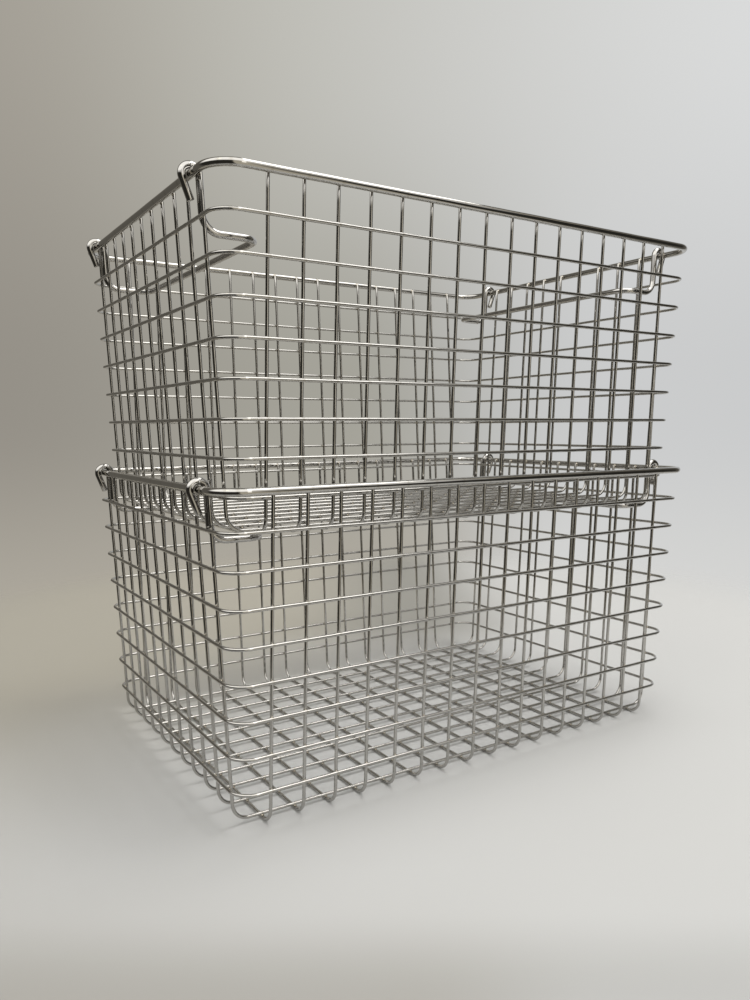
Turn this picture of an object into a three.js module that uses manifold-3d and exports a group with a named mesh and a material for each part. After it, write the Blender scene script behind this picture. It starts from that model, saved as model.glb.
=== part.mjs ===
// Two stacking wire baskets. The upper one stands inside the rim of the lower one, on its two bails.
// Millimetres, +Z up, X along the long walls and Y along the short walls.
// The origin lies on the floor under the middle of the stack.

import * as THREE from 'three';
import Module from 'manifold-3d';

// One basket, over its rim and down to its floor wires
const basketLength = 455;
const basketWidth = 316;
const basketHeight = 230;

// Wire diameters
const meshWire = 2.5;
const rimWire = 5.5;
const bailWire = 5;

// Bend radii, along the middle of the wire
const rimCorner = 20;
const hoopCorner = 15;
const floorBend = 12;
const bailBend = 12;

// The mesh: how many wires, and where the outermost ones stand
const crosswiseCount = 16;
const lengthwiseCount = 11;
const hoopCount = 8;
const crosswiseEndMargin = 40;
const lengthwiseEndMargin = 33;
const rimToFirstHoop = 26;
const wireTopOverRim = 0.8;

// The bails: how low the seat hangs, how far the crossbar reaches in past the end crosswise wire of
// the basket above, where the legs stand and how long the hooks' tails are
const bailDrop = 34;
const crossbarPastEndWire = 8.5;
const bailLegFromEndWire = 7;
const hookTail = 15;

// Fits: welded wires almost touch, hooks run loose on the rim, a basket sits on the level seats of
// the bails and its lowest hoop passes between the legs of the bails that carry it
const weldGap = 0.1;
const weldSink = 0.3;
const hookClearance = 0.5;
const seatGap = 0.2;
const nestClearance = 3.2;

// Facets of the round wires
const meshSides = 6;
const thickSides = 8;
const bendStep = THREE.MathUtils.degToRad(30);
const shortestStep = 0.05;

// Polished steel, smoothest on the heavy rim
const steelColour = 0xc9c9c4;
const rimRoughness = 0.12;
const bailRoughness = 0.15;
const meshRoughness = 0.2;

// Places that follow from the sizes above
const meshRadius = meshWire / 2;
const rimRadius = rimWire / 2;
const bailRadius = bailWire / 2;
const meshFlat = halfAcrossFlats(meshRadius, meshSides);
const bailFlat = halfAcrossFlats(bailRadius, thickSides);
const rimHeight = basketHeight - halfAcrossFlats(rimRadius, thickSides);
const rimHalfLength = basketLength / 2 - rimRadius;
const rimHalfWidth = basketWidth / 2 - rimRadius;
const crossLayer = meshFlat;
const lengthLayer = crossLayer + meshWire + weldGap;
const hoopPitch = (rimHeight - rimToFirstHoop - crossLayer) / hoopCount;
const crosswiseEnd = basketLength / 2 - crosswiseEndMargin;
const lengthwiseEnd = basketWidth / 2 - lengthwiseEndMargin;
const wallInset = rimRadius + meshRadius + weldGap;
const hookRadius = rimRadius + hookClearance + bailRadius;
const bailLegAt = lengthwiseEnd - bailLegFromEndWire;
const stackRise = rimHeight - bailDrop + bailFlat + seatGap;
const hoopOutside = meshWire + meshRadius - weldSink - wallInset;
const taperSlope = (hookRadius + bailRadius + nestClearance + hoopOutside) / stackRise;
const wallTaper = Math.atan(taperSlope);
const tailTurn = Math.atan2(hookRadius, hookTail);

// Half the distance across the flats of a polygon with the area of a round wire
function halfAcrossFlats(radius, sides) {
  return cornerRadius(radius, sides) * Math.cos(Math.PI / sides);
}

// Corner radius of a polygon with the area of a round wire
function cornerRadius(radius, sides) {
  const angle = (2 * Math.PI) / sides;
  return radius * Math.sqrt(angle / Math.sin(angle));
}

// Half the distance between the middles of the upright wires of two opposite walls, at a height
function wallHalf(rimHalf, height) {
  return rimHalf - wallInset - (rimHeight - height) * taperSlope;
}

function point(x, y, z) {
  return new THREE.Vector3(x, y, z);
}

// Points along a wire through the given corners, each rounded by its own bend radius
function bentPath(corners, closed) {
  const points = [];
  corners.forEach((corner, index) => {
    const isEnd = !closed && (index === 0 || index === corners.length - 1);
    if (isEnd) {
      points.push(corner.at);
      return;
    }
    const before = corners.at(index - 1).at;
    const after = corners[(index + 1) % corners.length].at;
    points.push(...bendPoints(corner, before, after));
  });
  return points.filter((place, index) => index === 0 || place.distanceTo(points[index - 1]) > shortestStep);
}

// Points of one bend, from where the wire leaves its first straight to where it enters the next
function bendPoints(corner, before, after) {
  const into = corner.at.clone().sub(before).normalize();
  const outOf = after.clone().sub(corner.at).normalize();
  const turn = into.angleTo(outOf);
  const setback = corner.bend * Math.tan(turn / 2);
  const start = corner.at.clone().addScaledVector(into, -setback);
  const inward = outOf.clone().addScaledVector(into, -outOf.dot(into)).normalize();
  const steps = Math.max(1, Math.round(turn / bendStep));
  return Array.from({ length: steps + 1 }, (_, step) => {
    const angle = (turn * step) / steps;
    const along = corner.bend * Math.sin(angle);
    const across = corner.bend * (1 - Math.cos(angle));
    return start.clone().addScaledVector(into, along).addScaledVector(inward, across);
  });
}

// A wire with a polygon section, mitred at each point of its path, with a flat towards flatSide
function wireGeometry(path, radius, sides, flatSide, closed) {
  const count = path.length;
  const segments = closed ? count : count - 1;
  const directions = Array.from({ length: segments }, (_, index) =>
    path[(index + 1) % count].clone().sub(path[index]).normalize());
  const start = closed ? directions.at(-1) : directions[0];
  const across = start.clone().cross(flatSide);
  const corner = cornerRadius(radius, sides);
  let ring = Array.from({ length: sides }, (_, index) => {
    const angle = ((index + 0.5) * 2 * Math.PI) / sides;
    return flatSide.clone().multiplyScalar(corner * Math.cos(angle))
      .addScaledVector(across, corner * Math.sin(angle)).add(path[0]);
  });
  const rings = path.map((place, index) => {
    const into = directions[index === 0 ? segments - 1 : index - 1];
    const outOf = directions[index === segments ? index - 1 : index];
    const ends = !closed && (index === 0 || index === count - 1);
    const mitre = ends ? (index === 0 ? outOf : into).clone() : into.clone().add(outOf).normalize();
    const slide = index === 0 ? start : into;
    ring = ring.map((vertex) => {
      const travel = place.clone().sub(vertex).dot(mitre) / slide.dot(mitre);
      return vertex.clone().addScaledVector(slide, travel);
    });
    return ring;
  });
  const triangles = [];
  for (let segment = 0; segment < segments; segment += 1) {
    for (let side = 0; side < sides; side += 1) {
      const near = segment * sides + side;
      const nearNext = segment * sides + ((side + 1) % sides);
      const far = ((segment + 1) % count) * sides + side;
      const farNext = ((segment + 1) % count) * sides + ((side + 1) % sides);
      triangles.push(near, nearNext, farNext, near, farNext, far);
    }
  }
  const lastRing = (count - 1) * sides;
  for (let side = 1; side < sides - 1 && !closed; side += 1) {
    triangles.push(0, side + 1, side, lastRing, lastRing + side, lastRing + side + 1);
  }
  const geometry = new THREE.BufferGeometry();
  geometry.setAttribute('position', new THREE.Float32BufferAttribute(
    rings.flat().flatMap((vertex) => vertex.toArray()), 3));
  geometry.setIndex(triangles);
  return geometry;
}

// One body from wires that are welded to each other
function weldedTogether(geometries) {
  const solids = geometries.map((geometry) => new wasm.Manifold(new wasm.Mesh({
    numProp: 3,
    vertProperties: new Float32Array(geometry.attributes.position.array),
    triVerts: new Uint32Array(geometry.index.array),
  })));
  const joined = solids.reduce((body, solid) => body.add(solid)).getMesh();
  const geometry = new THREE.BufferGeometry();
  geometry.setAttribute('position', new THREE.Float32BufferAttribute(joined.vertProperties, 3));
  geometry.setIndex(Array.from(joined.triVerts));
  return geometry;
}

// A closed loop with rounded corners, lying flat at a height. It is straight where the end wires meet it.
function loopGeometry(halfLength, halfWidth, height, corner, radius, sides) {
  const room = Math.min(halfLength - crosswiseEnd, halfWidth - lengthwiseEnd) - meshRadius;
  const bend = Math.min(corner, room);
  const corners = [[1, 1], [-1, 1], [-1, -1], [1, -1]].map(([alongX, alongY]) => ({
    at: point(alongX * halfLength, alongY * halfWidth, height),
    bend,
  }));
  return wireGeometry(bentPath(corners, true), radius, sides, point(1, 0, 0), true);
}

function rimGeometry() {
  return loopGeometry(rimHalfLength, rimHalfWidth, rimHeight, rimCorner, rimRadius, thickSides);
}

// Hoop 1 is the highest. The sink draws its short sides into the lengthwise wires.
function hoopGeometry(number, sink) {
  const height = rimHeight - rimToFirstHoop - (number - 1) * hoopPitch;
  const outward = meshWire + weldGap;
  const halfLength = wallHalf(rimHalfLength, height) + outward - sink;
  const halfWidth = wallHalf(rimHalfWidth, height) + outward;
  return loopGeometry(halfLength, halfWidth, height, hoopCorner, meshRadius, meshSides);
}

// A U-shaped wire: down one wall, along the floor and up the opposite wall. It is straight as far as
// the last of the wires that cross it on the floor.
function wallWireGeometry(rimHalf, layer, lastCrossing, place) {
  const top = rimHeight + wireTopOverRim;
  const floorHalf = wallHalf(rimHalf, layer);
  const room = (floorHalf - lastCrossing - meshRadius) / Math.tan(Math.PI / 4 - wallTaper / 2);
  const bend = Math.min(floorBend, room);
  const corners = [
    { at: place(-wallHalf(rimHalf, top), top) },
    { at: place(-floorHalf, layer), bend },
    { at: place(floorHalf, layer), bend },
    { at: place(wallHalf(rimHalf, top), top) },
  ];
  const down = corners[1].at.clone().sub(corners[0].at).normalize();
  const side = place(1, 0).sub(place(0, 0));
  const flatSide = side.addScaledVector(down, -side.dot(down)).normalize();
  return wireGeometry(bentPath(corners, false), meshRadius, meshSides, flatSide, false);
}

function evenly(count, end, index) {
  return -end + (2 * end * index) / (count - 1);
}

function crosswiseWireGeometry(index) {
  const x = evenly(crosswiseCount, crosswiseEnd, index);
  return wallWireGeometry(rimHalfWidth, crossLayer, lengthwiseEnd, (across, z) => point(x, across, z));
}

function lengthwiseWireGeometry(index) {
  const y = evenly(lengthwiseCount, lengthwiseEnd, index);
  return wallWireGeometry(rimHalfLength, lengthLayer, crosswiseEnd, (along, z) => point(along, y, z));
}

// The lengthwise wires and the lowest hoop, which is welded to both ends of each of them
function lengthwiseMatGeometry() {
  const wires = Array.from({ length: lengthwiseCount }, (_, index) => lengthwiseWireGeometry(index));
  return weldedTogether([hoopGeometry(hoopCount, weldGap + weldSink), ...wires]);
}

// A bail hangs on the rim of one short wall by two hooks, whose tails end under the rim. Its legs lean
// with the wall. Its seat is level, and the end crosswise wire of the basket above lies across it.
function bailGeometry(wall) {
  const place = (inward, y, up) => point(wall * (rimHalfLength - inward), y, rimHeight + up);
  const reach = rimHalfLength - crosswiseEnd + crossbarPastEndWire;
  const legStart = hookRadius / Math.cos(wallTaper);
  const tailStart = -hookRadius / Math.cos(tailTurn);
  const tailDrop = Math.hypot(hookRadius, hookTail);
  const half = (side) => {
    const y = side * bailLegAt;
    return [
      { at: place(0, y, -tailDrop) },
      { at: place(tailStart - hookRadius * Math.tan(tailTurn), y, hookRadius), bend: hookRadius },
      { at: place(legStart - hookRadius * taperSlope, y, hookRadius), bend: hookRadius },
      { at: place(legStart + bailDrop * taperSlope, y, -bailDrop), bend: bailBend },
      { at: place(reach, y, -bailDrop), bend: bailBend },
    ];
  };
  const path = bentPath([...half(-1), ...half(1).reverse()], false);
  return wireGeometry(path, bailRadius, thickSides, point(0, 1, 0), false);
}

function namedMesh(name, geometry, roughness) {
  geometry.computeVertexNormals();
  const steel = new THREE.MeshStandardMaterial({ color: steelColour, metalness: 1, roughness });
  const mesh = new THREE.Mesh(geometry, steel);
  mesh.name = name;
  return mesh;
}

function basket(name) {
  const group = new THREE.Group();
  group.add(namedMesh(`${name}_rim`, rimGeometry(), rimRoughness));
  for (let number = 1; number < hoopCount; number += 1) {
    group.add(namedMesh(`${name}_hoop_${number}`, hoopGeometry(number, 0), meshRoughness));
  }
  for (let index = 0; index < crosswiseCount; index += 1) {
    const label = String(index + 1).padStart(2, '0');
    const wire = crosswiseWireGeometry(index);
    group.add(namedMesh(`${name}_crosswise_wire_${label}`, wire, meshRoughness));
  }
  group.add(namedMesh(`${name}_lengthwise_mat`, lengthwiseMatGeometry(), meshRoughness));
  group.add(namedMesh(`${name}_left_bail`, bailGeometry(-1), bailRoughness));
  group.add(namedMesh(`${name}_right_bail`, bailGeometry(1), bailRoughness));
  return group;
}

const wasm = await Module();
wasm.setup();

const stack = new THREE.Group();
const upperBasket = basket('upper');
upperBasket.position.z = stackRise;
stack.add(basket('lower'), upperBasket);

export default stack;
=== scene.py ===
import math
import random

import bpy
from mathutils import Matrix, Vector


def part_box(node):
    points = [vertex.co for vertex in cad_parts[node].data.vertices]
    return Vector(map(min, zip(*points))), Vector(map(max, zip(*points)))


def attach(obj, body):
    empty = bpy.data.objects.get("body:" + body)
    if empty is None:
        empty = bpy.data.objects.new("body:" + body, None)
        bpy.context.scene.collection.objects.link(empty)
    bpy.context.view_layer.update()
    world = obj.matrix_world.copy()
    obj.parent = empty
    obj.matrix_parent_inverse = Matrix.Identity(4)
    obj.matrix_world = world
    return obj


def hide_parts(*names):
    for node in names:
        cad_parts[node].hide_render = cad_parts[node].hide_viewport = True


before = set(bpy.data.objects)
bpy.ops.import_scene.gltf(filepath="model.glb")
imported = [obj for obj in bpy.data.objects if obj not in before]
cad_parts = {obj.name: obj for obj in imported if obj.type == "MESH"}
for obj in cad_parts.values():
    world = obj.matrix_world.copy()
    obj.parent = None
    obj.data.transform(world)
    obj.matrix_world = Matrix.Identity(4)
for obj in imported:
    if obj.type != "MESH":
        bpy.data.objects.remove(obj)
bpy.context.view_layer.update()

MM = 0.001
X, Y = 0, 1

# Sizes of a basket in millimetres, the same as in the CAD model
mesh_wire = 2.5
rim_wire = 5.5
bail_wire = 5.0
rim_corner = 20.0
hoop_corner = 15.0
floor_bend = 12.0
bail_bend = 12.0
crosswise_count = 16
lengthwise_count = 11
hoop_count = 8
mesh_pitch = 25.0
wire_top_over_rim = 0.8
rim_weld_gap = 0.1
hook_clearance = 0.5
hook_tail = 15.0
bail_drop = 34.0
bail_leg_from_end_wire = 7.0
crossbar_past_end_wire = 8.5

# Finish that only the looks have, in millimetres: crossing wires pressed together, wires not quite straight
weld_sink = 0.2
rim_wander = 0.08
mesh_wander = 0.07
wander_lengths = (47.0, 83.0)

# Smallest and largest share of that wander in one wave
wander_shares = (0.4, 1.0)

# How finely the round wires are drawn
mesh_sides = 12
thick_sides = 20
bend_step = math.radians(7.5)
straight_step = 12.0

# Cut ends of a wire: how far in from the end, and how thick the wire is there, as shares of its radius
cut_end = ((0.0, 0.72), (0.09, 0.92), (0.3, 1.0))


def box_of(node):
    """Lowest and highest corner of a CAD node, in millimetres."""
    low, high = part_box(node)
    return low / MM, high / MM


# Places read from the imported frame. The CAD rim is as thick across as it is high.
rim_low, rim_high = box_of("lower_rim")
rim_reach = (rim_high.z - rim_low.z) / 2
rim_height = rim_high.z - rim_reach
rim_half_length = rim_high.x - rim_reach
rim_half_width = rim_high.y - rim_reach
stack_rise = box_of("upper_rim")[1].z - rim_high.z

# The lowest hoop shares a node with the lengthwise wires, so these come from the hoops above it
own_hoops = hoop_count - 1
first_hoop_low, first_hoop_high = box_of("lower_hoop_1")
last_hoop_high = box_of(f"lower_hoop_{own_hoops}")[1]
hoop_span = first_hoop_high.z - last_hoop_high.z
first_hoop_height = (first_hoop_low.z + first_hoop_high.z) / 2
hoop_pitch = hoop_span / (own_hoops - 1)
wall_slope = (first_hoop_high.x - last_hoop_high.x) / hoop_span

# Places that follow from these
crosswise_at = [mesh_pitch * (i - (crosswise_count - 1) / 2) for i in range(crosswise_count)]
lengthwise_at = [mesh_pitch * (i - (lengthwise_count - 1) / 2) for i in range(lengthwise_count)]
hoop_heights = [first_hoop_height - hoop_pitch * i for i in range(hoop_count)]
crosswise_layer = mesh_wire / 2
lengthwise_layer = crosswise_layer + mesh_wire - weld_sink
wire_top = rim_height + wire_top_over_rim
wall_inset = (rim_wire + mesh_wire) / 2 + rim_weld_gap
bail_leg_at = lengthwise_at[-1] - bail_leg_from_end_wire
bail_reach = rim_half_length - crosswise_at[-1] + crossbar_past_end_wire
hook_radius = (rim_wire + bail_wire) / 2 + hook_clearance
hook_tail_turn = math.atan2(hook_radius, hook_tail)
hook_tail_drop = math.hypot(hook_radius, hook_tail)


def wall_half(rim_half, height):
    """Half the distance between two opposite walls of upright wires at that height."""
    return rim_half - wall_inset - (rim_height - height) * wall_slope


# Wire paths
def bent(corners, bends, closed=False):
    """Points along a wire bent at its corners, with each straight run cut into short steps."""
    count = len(corners)
    turns = range(count) if closed else range(1, count - 1)
    runs = [] if closed else [[corners[0]]]
    for turn, bend in zip(turns, bends):
        here = corners[turn]
        arriving = (here - corners[turn - 1]).normalized()
        leaving = (corners[(turn + 1) % count] - here).normalized()
        angle = arriving.angle(leaving)
        inward = (leaving - arriving * arriving.dot(leaving)).normalized()
        start = here - arriving * bend * math.tan(angle / 2)
        steps = max(2, math.ceil(angle / bend_step))
        arc = []
        for step in range(steps + 1):
            turned = angle * step / steps
            arc.append(start + inward * bend * (1 - math.cos(turned)) + arriving * bend * math.sin(turned))
        runs.append(arc)
    if not closed:
        runs.append([corners[-1]])
    points = []
    for i, run in enumerate(runs):
        points.extend(run)
        if i + 1 < len(runs) or closed:
            following = runs[(i + 1) % len(runs)][0]
            gap = following - run[-1]
            pieces = max(1, math.ceil(gap.length / straight_step))
            points.extend(run[-1] + gap * (k / pieces) for k in range(1, pieces))
    return points


def wandering(points, amount, seed):
    """The same path with the slow sideways unevenness of straightened wire."""
    dice = random.Random(seed)
    lengths = [0.0]
    for a, b in zip(points, points[1:]):
        lengths.append(lengths[-1] + (b - a).length)
    whole = lengths[-1] + (points[0] - points[-1]).length
    waves = []
    for axis in range(3):
        for length in wander_lengths:
            rate = 2 * math.pi * max(1, round(whole / length)) / whole
            waves.append((axis, rate, dice.uniform(0, 2 * math.pi), dice.uniform(*wander_shares)))
    moved = []
    for point, along in zip(points, lengths):
        shift = Vector((0, 0, 0))
        for axis, rate, phase, size in waves:
            shift[axis] += amount * size * math.sin(rate * along + phase) / 2
        moved.append(point + shift)
    return moved


def loop_path(half_length, half_width, height, corner):
    """A closed loop round the basket: the rim or a hoop."""
    corners = [
        Vector((-half_length, -half_width, height)),
        Vector((half_length, -half_width, height)),
        Vector((half_length, half_width, height)),
        Vector((-half_length, half_width, height)),
    ]
    return bent(corners, [corner] * 4, closed=True)


def crosswise_path(x):
    """A wire down one long wall, under the floor and up the other long wall."""
    top = wall_half(rim_half_width, wire_top)
    foot = wall_half(rim_half_width, crosswise_layer)
    corners = [
        Vector((x, -top, wire_top)),
        Vector((x, -foot, crosswise_layer)),
        Vector((x, foot, crosswise_layer)),
        Vector((x, top, wire_top)),
    ]
    return bent(corners, [floor_bend] * 2)


def lengthwise_path(y):
    """A wire down one short wall, along the floor and up the other short wall."""
    top = wall_half(rim_half_length, wire_top)
    foot = wall_half(rim_half_length, lengthwise_layer)
    corners = [
        Vector((-top, y, wire_top)),
        Vector((-foot, y, lengthwise_layer)),
        Vector((foot, y, lengthwise_layer)),
        Vector((top, y, wire_top)),
    ]
    return bent(corners, [floor_bend] * 2)


def bail_path(side):
    """The bail on one short wall: hook, leg, seat, crossbar, seat, leg and hook."""
    lean = math.atan(wall_slope)
    tail_start = -hook_radius / math.cos(hook_tail_turn)
    leg_start = hook_radius / math.cos(lean)

    def half(y):
        profile = [
            (0.0, -hook_tail_drop),
            (tail_start - hook_radius * math.tan(hook_tail_turn), hook_radius),
            (leg_start - hook_radius * wall_slope, hook_radius),
            (leg_start + bail_drop * wall_slope, -bail_drop),
            (bail_reach, -bail_drop),
        ]
        return [Vector((side * (rim_half_length - inward), y, rim_height + up)) for inward, up in profile]

    corners = half(-bail_leg_at) + half(bail_leg_at)[::-1]
    bends = [hook_radius, hook_radius, bail_bend, bail_bend]
    return bent(corners, bends + bends[::-1])


# Wire surfaces
class Skin:
    """Vertices, faces and surface marks of one or more wires that make one mesh."""

    def __init__(self):
        self.points = []
        self.faces = []
        self.place = []
        self.welds = []

    def ring(self, centre, across, upward, radius, sides, along, weld):
        first = len(self.points)
        for k in range(sides):
            turn = 2 * math.pi * k / sides
            side, rise = math.cos(turn), math.sin(turn)
            self.points.append(centre + (across * side + upward * rise) * radius)
            self.place.append((side, rise, along))
            self.welds.append(weld)
        return first

    def band(self, a, b, sides):
        for k in range(sides):
            n = (k + 1) % sides
            self.faces.append((a + k, a + n, b + n, b + k))

    def cap(self, ring, centre, sides, at_start):
        tip = len(self.points)
        self.points.append(centre)
        self.place.append((0.0, 0.0, self.place[ring][2]))
        self.welds.append(self.welds[ring])
        for k in range(sides):
            n = (k + 1) % sides
            self.faces.append((tip, ring + n, ring + k) if at_start else (tip, ring + k, ring + n))


def draw_wire(skin, points, diameter, sides, weld_count, closed=False, number=0):
    """Sweeps a round section along the points. Cut ends are slightly rounded off."""
    # Numbered wires lie this far apart in the noise, so that each has its own marks
    metres_between_wires = 3.0
    radius = diameter / 2
    swell = [1.0] * len(points)
    if not closed:
        first = (points[1] - points[0]).normalized()
        last = (points[-1] - points[-2]).normalized()
        head = [points[0] + first * depth * radius for depth, size in cut_end]
        tail = [points[-1] - last * depth * radius for depth, size in reversed(cut_end)]
        points = head + points[1:-1] + tail
        ends = [size for depth, size in cut_end]
        swell = ends + swell[1:-1] + ends[::-1]
    count = len(points)
    across = None
    along = number * metres_between_wires
    rings = []
    for i, point in enumerate(points):
        before = points[i - 1] if i or closed else points[i]
        after = points[(i + 1) % count] if i + 1 < count or closed else points[i]
        ahead = (after - before).normalized()
        if across is None:
            across = ahead.orthogonal().normalized()
        else:
            along += (point - points[i - 1]).length * MM
        across = (across - ahead * across.dot(ahead)).normalized()
        upward = ahead.cross(across)
        rings.append(skin.ring(point, across, upward, radius * swell[i], sides, along, weld_count(point)))
    for a, b in zip(rings, rings[1:]):
        skin.band(a, b, sides)
    if closed:
        skin.band(rings[-1], rings[0], sides)
    else:
        skin.cap(rings[0], points[0], sides, True)
        skin.cap(rings[-1], points[-1], sides, False)


def settle(skin, name, rise, body, material, slot, *nodes):
    """Makes a piece of the skin, lifted to its basket, and lets it ride on its body."""
    mesh = bpy.data.meshes.new(name)
    lift = Vector((0, 0, rise))
    mesh.from_pydata([(p + lift) * MM for p in skin.points], [], skin.faces)
    mesh.polygons.foreach_set("use_smooth", [True] * len(mesh.polygons))
    place = mesh.attributes.new("wire_place", "FLOAT_VECTOR", "POINT")
    place.data.foreach_set("vector", [v for triple in skin.place for v in triple])
    welds = mesh.attributes.new("weld_count", "FLOAT", "POINT")
    welds.data.foreach_set("value", skin.welds)
    mesh.materials.append(material)
    piece = bpy.data.objects.new(name, mesh)
    bpy.context.scene.collection.objects.link(piece)
    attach(piece, body)
    if nodes:
        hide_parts(*nodes)


# Shader nodes
def add(tree, kind, **settings):
    node = tree.nodes.new(kind)
    for key, value in settings.items():
        setattr(node, key, value)
    return node


def calculate(tree, operation, a, b=None, c=None):
    """One step of arithmetic on up to three sockets or numbers."""
    node = add(tree, "ShaderNodeMath", operation=operation)
    for socket, value in zip(node.inputs, (a, b, c)):
        if value is None:
            continue
        if isinstance(value, (int, float)):
            socket.default_value = value
        else:
            tree.links.new(value, socket)
    return node.outputs[0]


def ease(tree, value, low, high, out_low=0.0, out_high=1.0, smooth=True):
    """Maps low to high onto the two outer values, smoothly or straight, and holds them beyond."""
    node = add(tree, "ShaderNodeMapRange")
    node.interpolation_type = "SMOOTHSTEP" if smooth else "LINEAR"
    tree.links.new(value, node.inputs["Value"])
    node.inputs["From Min"].default_value = low
    node.inputs["From Max"].default_value = high
    node.inputs["To Min"].default_value = out_low
    node.inputs["To Max"].default_value = out_high
    return node.outputs["Result"]


def rising(tree, value, span):
    """From 0 before a span to 1 after it."""
    return ease(tree, value, *span)


def falling(tree, value, span):
    """From 1 before a span to 0 after it."""
    return ease(tree, value, *span, 1.0, 0.0)


def both(tree, a, b):
    """How far two shares hold at once."""
    return calculate(tree, "MULTIPLY", a, b)


def blend_colour(tree, share, a, b):
    node = add(tree, "ShaderNodeMix", data_type="RGBA")
    for socket, value in ((node.inputs[0], share), (node.inputs[6], a), (node.inputs[7], b)):
        if isinstance(value, tuple):
            socket.default_value = (*value, 1.0)
        else:
            tree.links.new(value, socket)
    return node.outputs[2]


def along_way(tree, vector, way):
    """How far a direction or place lies along a level way."""
    node = add(tree, "ShaderNodeVectorMath", operation="DOT_PRODUCT")
    tree.links.new(vector, node.inputs[0])
    node.inputs[1].default_value = way
    return node.outputs["Value"]


def noise(tree, place, scale, detail, roughness=0.5):
    node = add(tree, "ShaderNodeTexNoise")
    node.inputs["Scale"].default_value = scale
    node.inputs["Detail"].default_value = detail
    node.inputs["Roughness"].default_value = roughness
    tree.links.new(place, node.inputs["Vector"])
    return node.outputs["Fac"]


def wire_noise(tree, place, around, along, detail, roughness=0.5):
    """Noise on a wire, with its own scale around the wire and along it."""
    stretch = add(tree, "ShaderNodeVectorMath", operation="MULTIPLY")
    tree.links.new(place, stretch.inputs[0])
    stretch.inputs[1].default_value = (around, around, along)
    return noise(tree, stretch.outputs[0], 1.0, detail, roughness)


def bare_material(name):
    """Makes a material with only a surface and its output. Gives it, its node tree and the surface."""
    material = bpy.data.materials.new(name)
    material.use_nodes = True
    tree = material.node_tree
    tree.nodes.clear()
    surface = add(tree, "ShaderNodeBsdfPrincipled")
    out = add(tree, "ShaderNodeOutputMaterial")
    tree.links.new(surface.outputs["BSDF"], out.inputs["Surface"])
    return material, tree, surface


def raise_relief(tree, surface, height, depth):
    """Bumps of that depth in millimetres."""
    relief = add(tree, "ShaderNodeBump")
    relief.inputs["Strength"].default_value = 1.0
    relief.inputs["Distance"].default_value = depth * MM
    tree.links.new(height, relief.inputs["Height"])
    tree.links.new(relief.outputs["Normal"], surface.inputs["Normal"])


# Marks on the wire: the range of noise, or for heat of nearness to a weld, over which each one sets in
line_range = (0.3, 0.7)
scuff_range = (0.58, 0.74)
heat_range = (0.43, 0.5)

# How much the draw lines add to the wire's slow unevenness
line_bump = 0.06

# How much each mark stains and wears the steel, and the wear at which it is as dull as it gets
heat_stain, line_stain, scuff_stain = 0.5, 0.12, 0.06
line_wear, scuff_wear = 0.3, 0.5
full_wear = 1.6

# The weld beads: two colours in patches, roughness, and bumps in millimetres
weld_bright = (0.62, 0.58, 0.50)
weld_straw = (0.42, 0.36, 0.28)
weld_patches = (0.3, 0.7)
weld_polish, weld_dull = 0.18, 0.36
weld_bump = 0.05


# Materials
def drawn_wire_group():
    """Marks that drawing, straightening, handling and welding leave on steel wire."""
    tree = bpy.data.node_groups.new("drawn_wire", "ShaderNodeTree")
    for label in ("Draw lines", "Scuffs", "Weld heat", "Unevenness"):
        tree.interface.new_socket(label, in_out="OUTPUT", socket_type="NodeSocketFloat")
    out = add(tree, "NodeGroupOutput")
    place = add(tree, "ShaderNodeAttribute", attribute_name="wire_place").outputs["Vector"]
    lines = wire_noise(tree, place, around=7.0, along=11.0, detail=3.0, roughness=0.65)
    scuffs = wire_noise(tree, place, around=2.4, along=190.0, detail=4.0, roughness=0.7)
    slow = wire_noise(tree, place, around=0.8, along=34.0, detail=1.0)
    tree.links.new(ease(tree, lines, *line_range, smooth=False), out.inputs["Draw lines"])
    tree.links.new(rising(tree, scuffs, scuff_range), out.inputs["Scuffs"])
    height = calculate(tree, "MULTIPLY_ADD", lines, line_bump, slow)
    tree.links.new(height, out.inputs["Unevenness"])
    # A weld sits at every whole number of the count, and halfway between two the wire is clean
    count = add(tree, "ShaderNodeAttribute", attribute_name="weld_count").outputs["Fac"]
    off = calculate(tree, "ABSOLUTE", calculate(tree, "SUBTRACT", calculate(tree, "FRACT", count), 0.5))
    tree.links.new(rising(tree, off, heat_range), out.inputs["Weld heat"])
    return tree


def steel(name, marks, clean, stained, polish, dull, bump):
    """Bright drawn steel. The marks darken it a little and roughen it."""
    material, tree, surface = bare_material(name)
    surface.inputs["Metallic"].default_value = 1.0
    wire = add(tree, "ShaderNodeGroup", node_tree=marks)
    lines, scuffs, heat = (wire.outputs[label] for label in ("Draw lines", "Scuffs", "Weld heat"))
    stain = calculate(tree, "MULTIPLY", heat, heat_stain)
    stain = calculate(tree, "MULTIPLY_ADD", lines, line_stain, stain)
    stain = calculate(tree, "MULTIPLY_ADD", scuffs, scuff_stain, stain)
    tree.links.new(blend_colour(tree, stain, clean, stained), surface.inputs["Base Color"])
    wear = calculate(tree, "MULTIPLY_ADD", scuffs, scuff_wear, heat)
    wear = calculate(tree, "MULTIPLY_ADD", lines, line_wear, wear)
    roughness = ease(tree, wear, 0.0, full_wear, polish, dull, smooth=False)
    tree.links.new(roughness, surface.inputs["Roughness"])
    raise_relief(tree, surface, wire.outputs["Unevenness"], bump)
    return material


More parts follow.
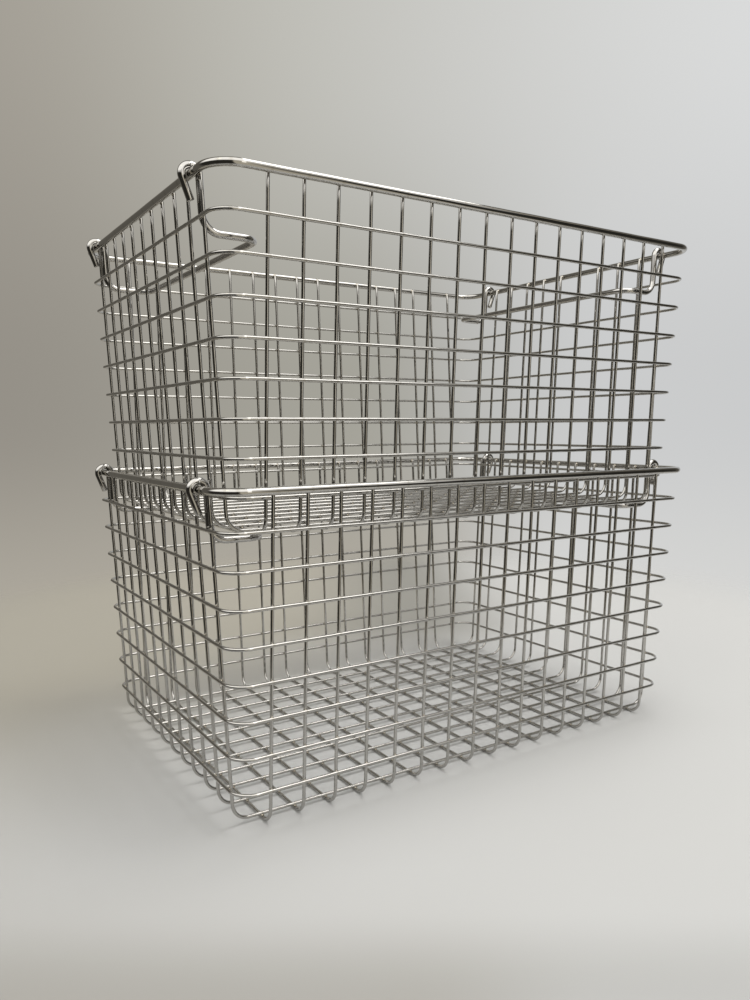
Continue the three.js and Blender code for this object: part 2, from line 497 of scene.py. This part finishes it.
def weld_steel():
    """Small resistance welds: duller, a little straw-coloured from the heat."""
    material, tree, surface = bare_material("weld_steel")
    surface.inputs["Metallic"].default_value = 1.0
    place = add(tree, "ShaderNodeTexCoord").outputs["Object"]
    patches = noise(tree, place, scale=900.0, detail=2.0)
    colour = blend_colour(tree, patches, weld_bright, weld_straw)
    tree.links.new(colour, surface.inputs["Base Color"])
    roughness = ease(tree, patches, *weld_patches, weld_polish, weld_dull)
    tree.links.new(roughness, surface.inputs["Roughness"])
    raise_relief(tree, surface, patches, weld_bump)
    return material


marks = drawn_wire_group()
rim_steel = steel(
    "rim_steel", marks, clean=(0.48, 0.47, 0.45), stained=(0.36, 0.34, 0.30),
    polish=0.045, dull=0.12, bump=0.015)
mesh_steel = steel(
    "mesh_steel", marks, clean=(0.47, 0.46, 0.44), stained=(0.33, 0.31, 0.27),
    polish=0.05, dull=0.12, bump=0.008)
bail_steel = steel(
    "bail_steel", marks, clean=(0.48, 0.47, 0.455), stained=(0.36, 0.345, 0.31),
    polish=0.045, dull=0.12, bump=0.015)
welded = weld_steel()


# Welds are counted along the wires for their heat marks: a whole number is a weld, and halfway is clean wire
between_welds = 0.5

# The points of a wire that are lower than this, in millimetres, lie in the floor
floor_wires_below = 6.0

# Crosswise wires stand half a pitch off the middle line, and the middle lengthwise wire stands on it
crosswise_shift = 0.5
lengthwise_shift = 0.0

# Beads at the welds: half their width, height and depth in millimetres, and how much they vary
rim_bead = (1.5, 1.9, 0.75)
mesh_bead = (1.3, 1.3, 0.6)
bead_growth = (0.88, 1.12)


def no_weld(point):
    return between_welds


def on_loop(point):
    """Welds counted along a loop, one at each upright wire."""
    if abs(point.y) / rim_half_width > abs(point.x) / rim_half_length:
        return point.x / mesh_pitch + crosswise_shift
    return point.y / mesh_pitch + lengthwise_shift


def on_upright(shift, axis):
    """Welds counted up a wall, one at each hoop, and over the floor, one at each crossing wire."""

    def count(point):
        if point.z > hoop_heights[-1]:
            return (point.z - hoop_heights[-1]) / hoop_pitch
        return point[axis] / mesh_pitch + shift if point.z < floor_wires_below else between_welds

    return count


class Beads:
    """Welds of one basket, as small flattened drops in the corners where two wires cross."""

    def __init__(self, seed):
        self.skin = Skin()
        self.dice = random.Random(seed)

    def drop(self, centre, outward, width, height, depth):
        level = Vector((0, 0, 1)) if abs(outward.z) < 0.9 else Vector((0, 1, 0))
        side = level.cross(outward).normalized()
        level = outward.cross(side)
        grow = self.dice.uniform(*bead_growth)
        sides, rows = 10, 6
        rings = []
        for row in range(1, rows):
            tilt = math.pi * row / rows
            middle = centre - outward * depth * math.cos(tilt) * grow
            spread = math.sin(tilt) * grow
            rings.append(len(self.skin.points))
            for k in range(sides):
                turn = 2 * math.pi * k / sides
                offset = side * math.cos(turn) * width * spread + level * math.sin(turn) * height * spread
                self.skin.points.append(middle + offset)
                self.skin.place.append((0.0, 0.0, 0.0))
                self.skin.welds.append(0.0)
        for a, b in zip(rings, rings[1:]):
            self.skin.band(a, b, sides)
        self.skin.cap(rings[0], centre - outward * depth * grow, sides, True)
        self.skin.cap(rings[-1], centre + outward * depth * grow, sides, False)


def weld_places():
    """Every weld of a basket: its centre, the way it faces and half the sizes of its bead."""
    rim_face = (mesh_wire + rim_weld_gap) / 2
    mesh_face = (mesh_wire - weld_sink) / 2
    for sign in (-1, 1):
        for x in crosswise_at:
            at = sign * (wall_half(rim_half_width, rim_height) + rim_face)
            yield Vector((x, at, rim_height)), Vector((0, sign, 0)), rim_bead
            for z in hoop_heights:
                at = sign * (wall_half(rim_half_width, z) + mesh_face)
                yield Vector((x, at, z)), Vector((0, sign, 0)), mesh_bead
        for y in lengthwise_at:
            at = sign * (wall_half(rim_half_length, rim_height) + rim_face)
            yield Vector((at, y, rim_height)), Vector((sign, 0, 0)), rim_bead
            for z in hoop_heights:
                at = sign * (wall_half(rim_half_length, z) + mesh_face)
                yield Vector((at, y, z)), Vector((sign, 0, 0)), mesh_bead
    for x in crosswise_at:
        for y in lengthwise_at:
            yield Vector((x, y, crosswise_layer + mesh_face)), Vector((0, 0, 1)), mesh_bead


# The wires of one basket. Each wire has a seed of its own, and a number that sets its marks apart.
crosswise_seeds = 20
lengthwise_seeds = 50
lengthwise_numbers = 20


def draw_hoop(skin, number, seed):
    height = hoop_heights[number - 1]
    out = mesh_wire - weld_sink
    half_length = wall_half(rim_half_length, height) + out
    half_width = wall_half(rim_half_width, height) + out
    path = wandering(loop_path(half_length, half_width, height, hoop_corner), mesh_wander, seed + number)
    draw_wire(skin, path, mesh_wire, mesh_sides, on_loop, closed=True, number=number)


def build_basket(name, rise, seed):
    body = name + "_basket"

    skin = Skin()
    path = wandering(loop_path(rim_half_length, rim_half_width, rim_height, rim_corner), rim_wander, seed)
    draw_wire(skin, path, rim_wire, thick_sides, on_loop, closed=True)
    settle(skin, name + "_rim_steel", rise, body, rim_steel, "rim_steel", name + "_rim")

    for number in range(1, own_hoops + 1):
        skin = Skin()
        draw_hoop(skin, number, seed)
        node = f"{name}_hoop_{number}"
        settle(skin, node + "_steel", rise, body, mesh_steel, "mesh_steel", node)

    for number, x in enumerate(crosswise_at, 1):
        skin = Skin()
        path = wandering(crosswise_path(x), mesh_wander, seed + crosswise_seeds + number)
        draw_wire(skin, path, mesh_wire, mesh_sides, on_upright(lengthwise_shift, Y), number=number)
        node = f"{name}_crosswise_wire_{number:02d}"
        settle(skin, node + "_steel", rise, body, mesh_steel, "mesh_steel", node)

    # The CAD mat holds the lowest hoop and all the lengthwise wires, which are welded to it
    skin = Skin()
    draw_hoop(skin, hoop_count, seed)
    for number, y in enumerate(lengthwise_at, 1):
        path = wandering(lengthwise_path(y), mesh_wander, seed + lengthwise_seeds + number)
        count = on_upright(crosswise_shift, X)
        draw_wire(skin, path, mesh_wire, mesh_sides, count, number=lengthwise_numbers + number)
    node = name + "_lengthwise_mat"
    settle(skin, node + "_steel", rise, body, mesh_steel, "mesh_steel", node)

    beads = Beads(seed)
    for centre, outward, bead in weld_places():
        beads.drop(centre, outward, *bead)
    settle(beads.skin, name + "_welds", rise, body, welded, "mesh_steel")

    for side, word in ((-1, "left"), (1, "right")):
        skin = Skin()
        draw_wire(skin, bail_path(side), bail_wire, thick_sides, no_weld)
        node = f"{name}_{word}_bail"
        settle(skin, node + "_steel", rise, node, bail_steel, "bail_steel", node)


build_basket("lower", 0.0, seed=100)
build_basket("upper", stack_rise, seed=300)


# Level ways as the camera sees them, and the way to the floor's light. Lengths from here on are in metres.
toward_right = Vector((0.84, -0.54, 0.0))
toward_camera = Vector((-0.54, -0.84, 0.0))
toward_light = Vector((0.38, -0.925, 0.0))

# The paper on the floor: its colours, which hold painted light and shade, and where along those ways one
# passes into the next
floor_centre = Vector((0.12, 0.2, 0.0))
floor_reach = 1.4
floor_fades = (0.5, 0.8)
# The first two colours are painted shade away from the light and painted light toward it
floor_shaded = (0.438, 0.416, 0.36)
floor_near = (0.608, 0.612, 0.61)
# Painted shade of the strip of paper nearest the camera
floor_front_shade = (0.46, 0.458, 0.445)
floor_shadow = (0.31, 0.304, 0.28)
light_edge_wobble = 0.08
light_begins = (-0.32, 0.06)
shadow_begins = (-0.18, 0.05)
shadow_ends = (0.04, 0.26)
shadow_behind_baskets = (-0.34, -0.2)
front_shade_begins = (0.31, 0.38)


def studio_floor():
    """A round sheet of pale paper that fades into the backdrop, with painted light toward the light and
    painted shade behind the baskets and at the front.
    """
    rings, sides = 10, 96
    points = [floor_centre]
    faces = []
    for ring in range(1, rings + 1):
        radius = floor_reach * ring / rings
        for k in range(sides):
            turn = 2 * math.pi * k / sides
            points.append(floor_centre + Vector((math.cos(turn), math.sin(turn), 0.0)) * radius)
    for k in range(sides):
        n = (k + 1) % sides
        faces.append((0, 1 + k, 1 + n))
        for ring in range(rings - 1):
            inner, outer = 1 + ring * sides, 1 + (ring + 1) * sides
            faces.append((inner + k, outer + k, outer + n, inner + n))
    mesh = bpy.data.meshes.new("studio_floor")
    mesh.from_pydata(points, [], faces)

    material, tree, surface = bare_material("paper_floor")
    surface.inputs["Roughness"].default_value = 0.75
    surface.inputs["Specular IOR Level"].default_value = 0.2
    place = add(tree, "ShaderNodeNewGeometry").outputs["Position"]
    # Painted light: the paper is coloured lighter along the way to the light, with a noisy edge
    light_edge_noise = noise(tree, place, scale=3.0, detail=2.0)
    lightward = along_way(tree, place, toward_light)
    lightward = calculate(tree, "MULTIPLY_ADD", light_edge_noise, light_edge_wobble, lightward)
    sideways = along_way(tree, place, toward_right)
    frontward = along_way(tree, place, toward_camera)
    lit_and_shaded_paper = blend_colour(tree, rising(tree, lightward, light_begins), floor_shaded, floor_near)
    # Painted shadow of the baskets on the paper behind them, in the floor's colour and cast by no lamp
    shadow = blend_colour(tree, rising(tree, sideways, shadow_begins), floor_shaded, floor_shadow)
    shadow = blend_colour(tree, rising(tree, sideways, shadow_ends), shadow, floor_near)
    lit_and_shaded_paper = blend_colour(tree, falling(tree, frontward, shadow_behind_baskets), lit_and_shaded_paper, shadow)
    # Painted shade: a darker strip of paper toward the camera
    lit_and_shaded_paper = blend_colour(tree, rising(tree, frontward, front_shade_begins), lit_and_shaded_paper, floor_front_shade)
    tree.links.new(lit_and_shaded_paper, surface.inputs["Base Color"])
    away = add(tree, "ShaderNodeVectorMath", operation="DISTANCE")
    tree.links.new(place, away.inputs[0])
    away.inputs[1].default_value = floor_centre
    tree.links.new(falling(tree, away.outputs["Value"], floor_fades), surface.inputs["Alpha"])

    mesh.materials.append(material)
    floor = bpy.data.objects.new("studio_floor", mesh)
    bpy.context.scene.collection.objects.link(floor)


# The backdrop behind the baskets, with painted light and shade, and the room that the steel mirrors. A look
# is a direction of length 1.
# Each span is a stretch of a look's height, of its X, or of its way to the right or to the camera.
# Painted light and shade on the backdrop and its floor line: darker to the left, lighter to the right and
# upward
backdrop_left = (0.30, 0.28, 0.245)
backdrop_middle = (0.37, 0.36, 0.315)
backdrop_right = (0.595, 0.602, 0.605)
backdrop_around = (0.62, 0.62, 0.61)
backdrop_turns_grey = (-0.45, -0.05)
backdrop_lit_low = (-0.05, 0.3)
backdrop_lit_high = (-0.4, 0.55)
backdrop_low_to_high = (0.05, 0.38)
backdrop_brightens = (0.05, 0.45)
backdrop_brightest = 1.22
backdrop_from_left = (-0.62, -0.42)
backdrop_from_front = (-0.7, -0.4)
floor_line_left = (0.42, 0.392, 0.338)
floor_line_right = (0.67, 0.67, 0.655)
floor_line_lit = (0.03, 0.25)
floor_line_height = (-0.24, 0.02)
room_side = (0.15, 0.14, 0.12)
room_near = (0.035, 0.033, 0.028)
room_wall = (0.66, 0.61, 0.50)
room_ceiling = (1.0, 0.98, 0.94)
room_skylight = (1.9, 1.87, 1.8)
near_room_begins = (-0.3, 0.1)
wall_begins = (0.2, 0.34)
wall_ends = (0.76, 0.9)
ceiling_begins = (0.18, 0.34)
ceiling_ends = (0.58, 0.68)
skylight_begins = (0.36, 0.46)
skylight_ends = (0.31, 0.37)


def backdrop_colour(tree, rightward, height):
    """Grey paper with painted light and shade: lighter to the right and upward, passing into the floor at
    its foot.
    """
    paper = blend_colour(tree, rising(tree, rightward, backdrop_turns_grey), backdrop_left, backdrop_middle)
    lit_low = rising(tree, rightward, backdrop_lit_low)
    lit_high = rising(tree, rightward, backdrop_lit_high)
    widening = calculate(tree, "SUBTRACT", lit_high, lit_low)
    lit = calculate(tree, "MULTIPLY_ADD", rising(tree, height, backdrop_low_to_high), widening, lit_low)
    paper = blend_colour(tree, lit, paper, backdrop_right)
    raised = add(tree, "ShaderNodeVectorMath", operation="SCALE")
    tree.links.new(paper, raised.inputs[0])
    tree.links.new(ease(tree, height, *backdrop_brightens, 1.0, backdrop_brightest), raised.inputs["Scale"])
    floor_lit = rising(tree, rightward, floor_line_lit)
    floor_line = blend_colour(tree, floor_lit, floor_line_left, floor_line_right)
    return blend_colour(tree, rising(tree, height, floor_line_height), floor_line, raised.outputs[0])


def room_colour(tree, rightward, nearness, sideward, height, mirrored):
    """The dark room on the camera's side: a lighter wall, a ceiling and a skylight that is only mirrored."""
    wall = both(tree, rising(tree, rightward, wall_begins), falling(tree, rightward, wall_ends))
    ceiling = both(tree, rising(tree, height, ceiling_begins), falling(tree, sideward, ceiling_ends))
    skylight = both(tree, rising(tree, height, skylight_begins), falling(tree, sideward, skylight_ends))
    skylight = both(tree, skylight, mirrored)
    overhead = blend_colour(tree, skylight, room_ceiling, room_skylight)
    facing = blend_colour(tree, ceiling, blend_colour(tree, wall, room_near, room_wall), overhead)
    return blend_colour(tree, rising(tree, nearness, near_room_begins), room_side, facing)


def studio_world():
    """The backdrop behind the baskets. On the other sides is the room, which a camera sees as pale grey."""
    world = bpy.data.worlds.new("studio")
    bpy.context.scene.world = world
    world.use_nodes = True
    tree = world.node_tree
    tree.nodes.clear()
    look = add(tree, "ShaderNodeTexCoord").outputs["Generated"]
    split = add(tree, "ShaderNodeSeparateXYZ")
    tree.links.new(look, split.inputs[0])
    sideward, height = split.outputs["X"], split.outputs["Z"]
    rightward = along_way(tree, look, toward_right)
    nearness = along_way(tree, look, toward_camera)
    path = add(tree, "ShaderNodeLightPath")
    room = room_colour(tree, rightward, nearness, sideward, height, path.outputs["Is Glossy Ray"])
    around = blend_colour(tree, path.outputs["Is Camera Ray"], room, backdrop_around)
    beyond_left = rising(tree, rightward, backdrop_from_left)
    behind = both(tree, beyond_left, falling(tree, nearness, backdrop_from_front))
    colour = blend_colour(tree, behind, around, backdrop_colour(tree, rightward, height))
    glow = add(tree, "ShaderNodeBackground")
    tree.links.new(colour, glow.inputs["Color"])
    out = add(tree, "ShaderNodeOutputWorld")
    tree.links.new(glow.outputs[0], out.inputs["Surface"])


def soft_light(name, centre, aim, size, radiance, colour, mirrored=True):
    """A lamp with a flat glowing face, aimed at a point. The steel may or may not mirror it."""
    width, height = size
    lamp = bpy.data.lights.new(name, "AREA")
    lamp.shape = "RECTANGLE"
    lamp.size = width
    lamp.size_y = height
    lamp.energy = radiance * math.pi * width * height
    lamp.color = colour
    light = bpy.data.objects.new(name, lamp)
    light.location = centre
    light.rotation_mode = "QUATERNION"
    light.rotation_quaternion = (Vector(aim) - Vector(centre)).to_track_quat("-Z", "Y")
    light.visible_glossy = mirrored
    bpy.context.scene.collection.objects.link(light)


studio_floor()
studio_world()
soft_light(
    "ceiling_panel", centre=(0.79, -0.6, 2.05), aim=(0.79, -0.6, 0.0),
    size=(0.98, 2.0), radiance=2.9, colour=(1.0, 0.99, 0.97))
soft_light(
    "ceiling_lamp", centre=(0.2, -0.15, 2.0), aim=(0.0, 0.0, 0.2),
    size=(0.45, 0.45), radiance=14.0, colour=(1.0, 0.99, 0.97), mirrored=False)
soft_light(
    "window", centre=(0.3, -2.2, 0.65), aim=(0.0, 0.0, 0.3),
    size=(0.4, 1.1), radiance=1.2, colour=(1.0, 0.98, 0.94))
soft_light(
    "warm_lamp", centre=(-1.34, -0.58, 2.04), aim=(0.0, 0.0, 0.3),
    size=(0.28, 0.28), radiance=1.3, colour=(1.0, 0.97, 0.4))

# Camera where the photograph was taken from: angles in radians, place in metres, lens in millimetres
camera_place = (-0.40194, -0.60195, 0.26651)
yaw, pitch, roll = 0.5732, 0.0919, -0.0043
focal_length = 28.26
sensor_width = 36.0
ahead = Vector((math.sin(yaw) * math.cos(pitch), math.cos(yaw) * math.cos(pitch), -math.sin(pitch)))
level_right = Vector((math.cos(yaw), -math.sin(yaw), 0))
level_up = level_right.cross(ahead)
right = level_right * math.cos(roll) + level_up * math.sin(roll)
upward = level_up * math.cos(roll) - level_right * math.sin(roll)
lens = bpy.data.cameras.new("photo_camera")
lens.sensor_width = sensor_width
lens.lens = focal_length
lens.clip_start = 0.01
camera = bpy.data.objects.new("photo_camera", lens)
turn = Matrix((right, upward, -ahead)).transposed().to_4x4()
camera.matrix_world = Matrix.Translation(camera_place) @ turn
bpy.context.scene.collection.objects.link(camera)
bpy.context.scene.camera = camera
bpy.context.scene.view_settings.view_transform = "Standard"
